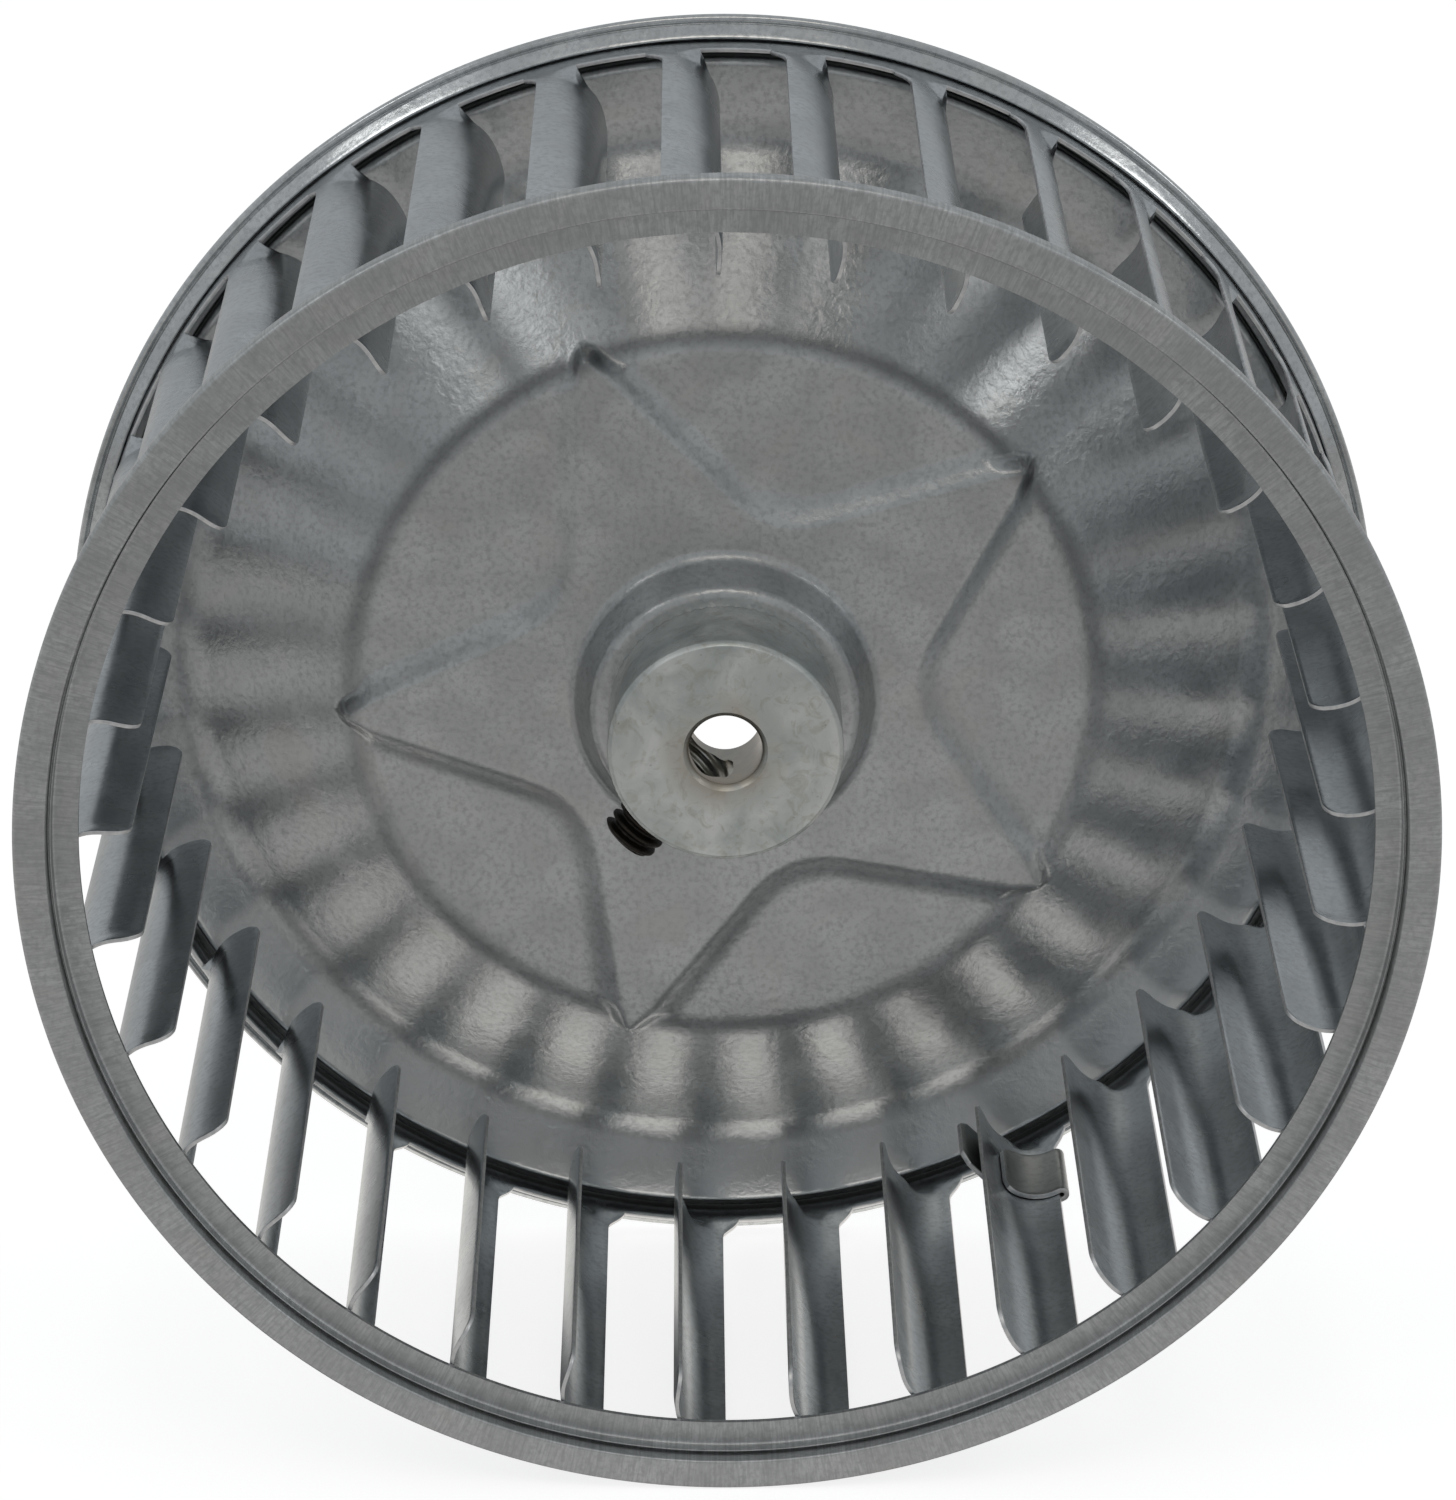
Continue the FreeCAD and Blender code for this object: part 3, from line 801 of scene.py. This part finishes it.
def centre_depth(radius, angle):
    """Depth of the plate's front at its centre: a raised star on a flat disc that turns into the cone."""
    floor = CENTRE_DEPTH + STAR_HEIGHT
    cone = floor + (radius - CENTRE_RADIUS) * (CONE_DEPTH - floor) / (CONE_RADIUS - CENTRE_RADIUS)
    ground = -smallest(-floor, -cone, CENTRE_ROUND)
    reach = star_reach(radius, angle)
    if reach <= -STAR_EDGE:
        drop = 0.0
    elif reach >= STAR_EDGE:
        drop = reach
    else:
        drop = (reach + STAR_EDGE) ** 2 / (4 * STAR_EDGE)
    slope = STAR_SLOPE * (1 + TIP_STEEPENING * smooth_step((radius - TIP_START) / TIP_RUN))
    past_tip = max(0.0, radius - TIP_END)
    star = CENTRE_DEPTH + slope * drop + TIP_DROP * past_tip * past_tip
    return smallest(ground, star, STAR_FOOT_ROUND)


def build_plate():
    """Back plate: collar, raised star, cone and the rim that the seam closes."""
    inside = BACK_FACE - RIM_SHEET - 0.05
    collar = rounded_path([
        (PLATE_HOLE, COLLAR_DEPTH), (COLLAR_RADIUS, COLLAR_DEPTH), (COLLAR_FOOT, CENTRE_DEPTH),
        (CENTRE_START, CENTRE_DEPTH)],
        COLLAR_BENDS, 9)[:-1]
    centre = [(mix(CENTRE_START, CONE_START, i / CENTRE_STEPS), None) for i in range(CENTRE_STEPS + 1)]
    between_arms = STAR_TIP_ANGLE + 180.0 / STAR_ARMS
    outer = rounded_path([
        (CONE_START, centre_depth(CONE_START, between_arms)), (CONE_RADIUS, CONE_DEPTH),
        (FLANGE_RADIUS, FLANGE_DEPTH), (FLANGE_RADIUS, inside), (FOLD_RADIUS, inside)],
        RIM_BENDS, 9)
    rings = collar + centre + subdivided(outer, 3.0)[1:]
    dents = wave(SEED + 2, DENT_DEPTH, (2, 3, 5, 7))
    verts = []
    faces = []
    for radius, depth in rings:
        ease = smooth_step((radius - CONE_START) / DENT_FADE) * smooth_step((DENT_END - radius) / DENT_FADE)
        for j in range(PLATE_SEGMENTS):
            angle = 360.0 * j / PLATE_SEGMENTS
            place = centre_depth(radius, angle) if depth is None else depth
            if CONE_START < radius < DENT_END:
                place += dents(angle) * ease
            verts.append(on_wheel(radius, place, angle))
    for i in range(len(rings) - 1):
        near = i * PLATE_SEGMENTS
        far = near + PLATE_SEGMENTS
        for j in range(PLATE_SEGMENTS):
            k = (j + 1) % PLATE_SEGMENTS
            faces.append((near + j, far + j, far + k, near + k))
    plate = new_object("dished_plate", verts, faces)
    mesh = bmesh.new()
    mesh.from_mesh(plate.data)
    bmesh.ops.remove_doubles(mesh, verts=mesh.verts, dist=0.00002)
    bmesh.ops.recalc_face_normals(mesh, faces=mesh.faces)
    mesh.faces.ensure_lookup_table()
    flat_radius = (CENTRE_START + STAR_NOTCH) / 2 * MM
    flat_face = min(mesh.faces, key=lambda f: abs(f.calc_center_median().xz.length - flat_radius))
    if flat_face.normal.y > 0:
        bmesh.ops.reverse_faces(mesh, faces=mesh.faces)
    mesh.to_mesh(plate.data)
    mesh.free()
    return plate


def build_seam():
    """Rolled edge of the plate round the strip: a slanted leaf, a groove and an outer bead. The
    whole fold is uneven in depth, and the leaf's edge also in radius."""
    shown = rounded_path([
        *SEAM_LEAF, *SEAM_GROOVE, SEAM_BEAD, (SEAM_RADIUS, BACK_FACE), (SEAM_INNER_RADIUS, BACK_FACE)],
        SEAM_BENDS, 6)
    hidden = [(SEAM_INNER_RADIUS, 30.2), (SEAM_LEAF[0][0], 30.0)]
    outline = subdivided(shown, 0.35) + hidden
    uneven = wave(SEED + 4, SEAM_UNEVENNESS, (5, 9, 14, 23))
    leaf = wave(SEED + 1, LEAF_UNEVENNESS, (9, 17, 26, 41))

    def shape(radius, depth, angle):
        if radius > 70.3 and depth < 30.3:
            depth += uneven(angle)
        if depth < 29.4 and radius < 71.4:
            radius += leaf(angle)
        return radius, depth

    seam = lathe("rolled_seam", outline, LATHE_SEGMENTS, shape)
    outward_normals(seam)
    return seam


def joined(first, second):
    """Adds the second object's mesh to the first and removes the second."""
    mesh = bmesh.new()
    mesh.from_mesh(first.data)
    mesh.from_mesh(second.data)
    mesh.to_mesh(first.data)
    mesh.free()
    bpy.data.objects.remove(second, do_unlink=True)


def build_hub():
    """Turned hub with rounded edges, a knurled foot at the plate and a staked head behind it."""
    plate_back = COLLAR_DEPTH + RIM_SHEET
    mouth = BORE_RADIUS + BORE_CHAMFER
    neck = PLATE_HOLE - PRESS_GAP
    seat = COLLAR_DEPTH - PRESS_GAP
    head = plate_back + PRESS_GAP
    back_edge = (BORE_RADIUS, HUB_BACK - BORE_BACK_CHAMFER)
    outline = rounded_path([
        back_edge, (BORE_RADIUS, HUB_FACE + BORE_CHAMFER), (mouth, HUB_FACE),
        (HUB_RADIUS - HUB_CHAMFER, HUB_FACE), (HUB_RADIUS, HUB_FACE + HUB_CHAMFER), (HUB_RADIUS, seat),
        (neck, seat), (neck, head), (HUB_HEAD_RADIUS, head), (HUB_HEAD_END_RADIUS, HUB_BACK),
        (BORE_RADIUS + BORE_BACK_CHAMFER, HUB_BACK), back_edge],
        HUB_BENDS, 3)[:-1]
    outline = subdivided(outline + outline[:1], 0.9)[:-1]
    foot = COLLAR_DEPTH - KNURL_HEIGHT

    def knurl(radius, depth, angle):
        if radius > HUB_RADIUS - 0.2 and foot < depth < COLLAR_DEPTH:
            radius -= KNURL_DEPTH * (0.5 + 0.5 * math.cos(math.radians(angle * KNURL_TEETH)))
        return radius, depth

    hub = lathe("turned_hub", outline, LATHE_SEGMENTS, knurl)
    outward_normals(hub)
    return hub


def along_screw(points_round, rings):
    """Closed mesh round the set screw's own axis from rings of (radius function, distance)."""
    side = Vector((0, 1, 0))
    up = SCREW_AXIS.cross(side).normalized()
    start = SCREW_CENTRE - SCREW_AXIS * (SCREW_LENGTH / 2)
    verts = []
    faces = []
    for radius_at, distance in rings:
        for j in range(points_round):
            turn = 2 * math.pi * j / points_round
            radius = radius_at(turn)
            verts.append(tuple(start + SCREW_AXIS * distance
                               + side * (radius * math.cos(turn)) + up * (radius * math.sin(turn))))
    for i in range(len(rings) - 1):
        for j in range(points_round):
            k = (j + 1) % points_round
            faces.append((i * points_round + j, i * points_round + k,
                          (i + 1) * points_round + k, (i + 1) * points_round + j))
    faces.append(tuple(range(points_round))[::-1])
    faces.append(tuple(range((len(rings) - 1) * points_round, len(rings) * points_round)))
    return verts, faces


def thread_radius(turn, distance, crest, share):
    """Radius of a helical thread at this angle and distance along the screw. share is how much of
    the full depth it is cut to."""
    phase = (distance / THREAD_PITCH - turn / (2 * math.pi)) % 1.0
    ridge = 1 - abs(2 * phase - 1)
    profile = smooth_step((ridge - THREAD_FLAT) / (1 - 2 * THREAD_FLAT))
    return crest - THREAD_DEPTH * (1 - profile) * share


def build_screw():
    """Set screw with a real helical thread, a hexagon socket and a blunt tip."""
    rings = []
    count = int(round(SCREW_LENGTH / SCREW_STEP))
    for i in range(count + 1):
        distance = SCREW_LENGTH * i / count
        tip_limit = SCREW_TIP_RADIUS + distance * SCREW_TIP_SLOPE
        end_limit = SCREW_RADIUS - SCREW_END_CHAMFER + max(0.0, SCREW_LENGTH - distance) * SCREW_END_SLOPE
        limit = min(tip_limit, end_limit)

        def radius_at(turn, distance=distance, limit=limit):
            return min(limit, thread_radius(turn, distance, SCREW_RADIUS, 1.0))

        rings.append((radius_at, distance))

    def hexagon(turn):
        sixth = math.pi / 3
        return SOCKET_FLATS / 2 / math.cos(turn % sixth - sixth / 2)

    rings.append((lambda turn: SOCKET_FLATS / 2 * SOCKET_FLARE, SCREW_LENGTH))
    rings.append((hexagon, SCREW_LENGTH - SOCKET_MOUTH))
    rings.append((hexagon, SCREW_LENGTH - SOCKET_DEPTH))
    rings.append((lambda turn: SOCKET_POINT_RADIUS, SCREW_LENGTH - SOCKET_DEPTH - SOCKET_FLOOR))
    verts, faces = along_screw(SCREW_SEGMENTS, rings)
    screw = new_object("hex_set_screw", verts, faces)
    outward_normals(screw)
    smooth_shaded(screw, 40)
    return screw


def cut_screw_hole(hub):
    """Cuts the tapped cross hole in the hub; its thread stands clear of the screw's crests."""
    rings = []
    count = int(round(HOLE_LENGTH / HOLE_STEP))
    for i in range(count + 1):
        distance = HOLE_START + HOLE_LENGTH * i / count

        def radius_at(turn, distance=distance):
            return thread_radius(turn, distance, SCREW_RADIUS + HOLE_CREST, HOLE_THREAD_SHARE)

        rings.append((radius_at, distance))
    verts, faces = along_screw(HOLE_SEGMENTS, rings)
    cutter = new_object("cross_hole_cutter", verts, faces)
    outward_normals(cutter)
    cut = hub.modifiers.new("cross_hole", "BOOLEAN")
    cut.operation = "DIFFERENCE"
    cut.solver = "EXACT"
    cut.object = cutter
    keep_modifiers(hub)
    bpy.data.objects.remove(cutter, do_unlink=True)
    smooth_shaded(hub, 35)


def build_clip():
    """Balance clip: a strip of sheet bent round one blade's root edge."""
    root_angle = FIRST_BLADE + BLADE_PITCH * CLIP_BLADE
    lag = math.degrees(ROOT_ARC / STRIP_RADIUS)
    gap = STRIP_SHEET / 2 + CLIP_SHEET / 2 + CLIP_GAP
    centre = Vector((STRIP_RADIUS - ROOT_ARC, ROOT_ARC))
    path = []
    for i in range(13):
        turn = math.radians(CLIP_INNER_SWEEP * (1 - i / 12))
        path.append(centre + (ROOT_ARC - gap) * Vector((math.cos(turn), -math.sin(turn))))
    bend = Vector((STRIP_RADIUS, ROOT_ARC + ROOT_WEB + CLIP_NOSE_GAP))
    for i in range(11):
        turn = math.radians(180.0 - 18.0 * i)
        path.append(bend + gap * Vector((math.cos(turn), math.sin(turn))))
    for i in range(11):
        turn = math.radians(CLIP_OUTER_SWEEP * i / 10)
        path.append(centre + (ROOT_ARC + gap) * Vector((math.cos(turn), -math.sin(turn))))
    tail = Vector(CLIP_TAIL)
    last = path[-1]
    path += [last + (tail - last) * (i / 6.0) for i in range(1, 7)]
    lengths = [0.0]
    for first, second in zip(path[:-1], path[1:]):
        lengths.append(lengths[-1] + (second - first).length)
    total = lengths[-1]
    verts = []
    faces = []
    for point, distance in zip(path, lengths):
        margin = min(distance, total - distance)
        inset = 0.0
        if margin < CLIP_CORNER:
            inset = CLIP_CORNER - math.sqrt(CLIP_CORNER ** 2 - (CLIP_CORNER - margin) ** 2)
        radius = point.length
        angle = root_angle - lag + math.degrees(math.atan2(point.y, point.x))
        for i in range(CLIP_ROWS):
            depth = mix(CLIP_FRONT + inset, CLIP_BACK - inset, i / (CLIP_ROWS - 1))
            verts.append(on_wheel(radius, depth, angle))
    for i in range(len(path) - 1):
        for j in range(CLIP_ROWS - 1):
            a = i * CLIP_ROWS + j
            faces.append((a, a + CLIP_ROWS, a + CLIP_ROWS + 1, a + 1))
    return new_object("weight_clip", verts, faces)


def apply_looks(obj, material, rim=None):
    """Gives a piece its main material, and its rim a second one."""
    obj.data.materials.clear()
    obj.data.materials.append(material)
    if rim:
        obj.data.materials.append(rim)


ring_metal = galvanised("galvanised_ring", RING_TINT, 1, 0.38, 0.22, rubbed=True)
seam_metal = galvanised("galvanised_seam", SEAM_TINT, 5, 0.2)
strip_metal = galvanised("galvanised_strip", STRIP_TINT, 2, 0.28)
plate_metal = galvanised("galvanised_plate", PLATE_TINT, 3, 0.33, 0.55, painted_plate_light=True)
clip_metal = galvanised("galvanised_clip", CLIP_TINT, 4, 0.36)
edge_metal = cut_edge()
hub_metal = turned_zinc()
screw_metal = black_oxide()

ring = build_front_ring()
apply_looks(ring, ring_metal)

strip = build_strip()
apply_looks(strip, strip_metal, edge_metal)
thicken(strip, STRIP_SHEET, 0.0, EDGE_ROUND)
smooth_shaded(strip)

plate = build_plate()
apply_looks(plate, plate_metal, edge_metal)
thicken(plate, RIM_SHEET, -1.0)
plate.data.materials.append(seam_metal)
seam = build_seam()
seam.data.polygons.foreach_set("material_index", [2] * len(seam.data.polygons))
joined(plate, seam)
smooth_shaded(plate, 40)

hub = build_hub()
apply_looks(hub, hub_metal)
cut_screw_hole(hub)

screw = build_screw()
apply_looks(screw, screw_metal)

clip = build_clip()
apply_looks(clip, clip_metal, edge_metal)
thicken(clip, CLIP_SHEET, 0.0, EDGE_ROUND)
smooth_shaded(clip)

for piece, node, finish_slot, body in (
        (ring, "front_end_ring", "galvanised_sheet", WHEEL_BODY),
        (strip, "blade_strip", "galvanised_sheet", WHEEL_BODY),
        (plate, "back_plate", "galvanised_sheet", WHEEL_BODY),
        (hub, "hub", "zinc_plated_hub", WHEEL_BODY),
        (clip, "balance_clip", "clip_steel", WHEEL_BODY),
        (screw, "set_screw", "black_oxide", SCREW_BODY)):
    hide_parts(node)
    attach(piece, body)


# -------------------------------------------------------------------- stage

def build_floor():
    """Plain pale floor. The camera sees it nearly white. For the metal's reflections the floor glows with
    painted light instead: darker in front of the wheel, a painted shadow darkest under the inlet and a
    painted warm glow under the back."""
    half = FLOOR_HALF
    ground = -SEAM_RADIUS - FLOOR_GAP
    corners = [(-half, -half, ground), (half, -half, ground), (half, half, ground), (-half, half, ground)]
    floor = new_object("floor", corners, [(0, 1, 2, 3)])
    nodes = Nodes("pale_floor")
    place = nodes.add("ShaderNodeTexCoord").outputs["Object"]
    split = nodes.add("ShaderNodeSeparateXYZ", {0: place})
    side = nodes.math("ABSOLUTE", split.outputs[0])
    depth = split.outputs[1]
    seen = nodes.add("ShaderNodeLightPath").outputs["Is Camera Ray"]
    # Painted reflection: the glow the metal sees dims further in front of the wheel
    level = nodes.math("ADD", nodes.span(depth, -0.40, -0.05, 0.25, 0.52),
                       nodes.span(depth, -0.9, -0.45, 0.25, 0.0))
    # Painted light: a warm glow under the back of the wheel, seen only in reflections
    beneath = nodes.product(nodes.span(side, 0.06, 0.14, 1.0, 0.0), nodes.span(depth, 0.008, 0.02, 0.0, 1.0))
    near_middle = nodes.span(side, 0.06, 0.12, 1.0, 0.0)
    # Painted shadow under the front of the wheel, seen only in reflections
    under_front = nodes.product(nodes.span(depth, -0.032, -0.024, 0.0, 1.0),
                                nodes.span(depth, 0.0, 0.012, 1.0, 0.0))
    painted_inlet_shadow = nodes.product(near_middle, under_front)
    front = nodes.combine(level, nodes.product(level, 0.985), nodes.product(level, 0.965))
    painted_reflection = nodes.blend(beneath, front, FLOOR_PAINTED_GLOW)
    painted_reflection = nodes.blend(painted_inlet_shadow, painted_reflection, FLOOR_PAINTED_SHADOW)
    colour = nodes.blend(seen, (0.0, 0.0, 0.0, 1.0), FLOOR_SHADE)
    matte = nodes.add("ShaderNodeBsdfDiffuse", {"Color": colour})
    shown = nodes.blend(seen, painted_reflection, FLOOR_SEEN)
    glow = nodes.add("ShaderNodeEmission", {"Color": shown})
    both = nodes.add("ShaderNodeAddShader", {0: matte.outputs[0], 1: glow.outputs[0]})
    out = nodes.add("ShaderNodeOutputMaterial")
    nodes.tree.links.new(both.outputs[0], out.inputs["Surface"])
    floor.data.materials.append(nodes.material)
    return floor


def add_light(name, place, size, power, tint):
    """Rectangular softbox at a place and of a size in millimetres, aimed at the wheel."""
    data = bpy.data.lights.new(name, "AREA")
    data.shape = "RECTANGLE"
    data.size, data.size_y = size[0] * MM, size[1] * MM
    data.energy = power
    data.color = tint
    light = bpy.data.objects.new(name, data)
    light.location = Vector(place) * MM
    light.rotation_euler = (-Vector(place)).to_track_quat("-Z", "Y").to_euler()
    bpy.context.scene.collection.objects.link(light)


def build_world():
    """Soft even surroundings, a little darker in front of the inlet."""
    world = bpy.data.worlds.new("studio")
    bpy.context.scene.world = world
    world.use_nodes = True
    tree = world.node_tree
    tree.nodes.clear()
    place = tree.nodes.new("ShaderNodeTexCoord")
    split = tree.nodes.new("ShaderNodeSeparateXYZ")
    tree.links.new(place.outputs["Generated"], split.inputs[0])
    facing = tree.nodes.new("ShaderNodeMapRange")
    facing.inputs["From Min"].default_value = -1.0
    facing.inputs["From Max"].default_value = 0.3
    facing.inputs["To Min"].default_value = SKY_FRONT
    facing.inputs["To Max"].default_value = SKY_BACK
    tree.links.new(split.outputs[1], facing.inputs["Value"])
    background = tree.nodes.new("ShaderNodeBackground")
    background.inputs["Color"].default_value = SKY_TINT
    tree.links.new(facing.outputs[0], background.inputs["Strength"])
    out = tree.nodes.new("ShaderNodeOutputWorld")
    tree.links.new(background.outputs[0], out.inputs["Surface"])


def add_camera():
    """Camera at the reference view: slightly above the wheel, looking into the inlet."""
    target = Vector(VIEW_TARGET)
    elevation = math.radians(VIEW_ELEVATION)
    azimuth = math.radians(VIEW_AZIMUTH)
    way = Vector((math.sin(azimuth) * math.cos(elevation), -math.cos(azimuth) * math.cos(elevation),
                  math.sin(elevation)))
    data = bpy.data.cameras.new("camera")
    data.sensor_fit = "AUTO"
    data.sensor_width = SENSOR
    data.lens = LENS
    data.clip_start = 0.01
    data.clip_end = 50.0
    camera = bpy.data.objects.new("camera", data)
    camera.location = (target + way * VIEW_DISTANCE) * MM
    camera.rotation_euler = (-way).to_track_quat("-Z", "Y").to_euler()
    bpy.context.scene.collection.objects.link(camera)
    bpy.context.scene.camera = camera


build_floor()
build_world()
add_light("left_softbox", LEFT_PLACE, SIDE_SIZE, SIDE_WATTS, SIDE_TINT)
add_light("right_softbox", RIGHT_PLACE, SIDE_SIZE, SIDE_WATTS, SIDE_TINT)
add_light("top_softbox", TOP_PLACE, TOP_SIZE, TOP_WATTS, TOP_TINT)
add_camera()
bpy.context.scene.view_settings.view_transform = "Standard"
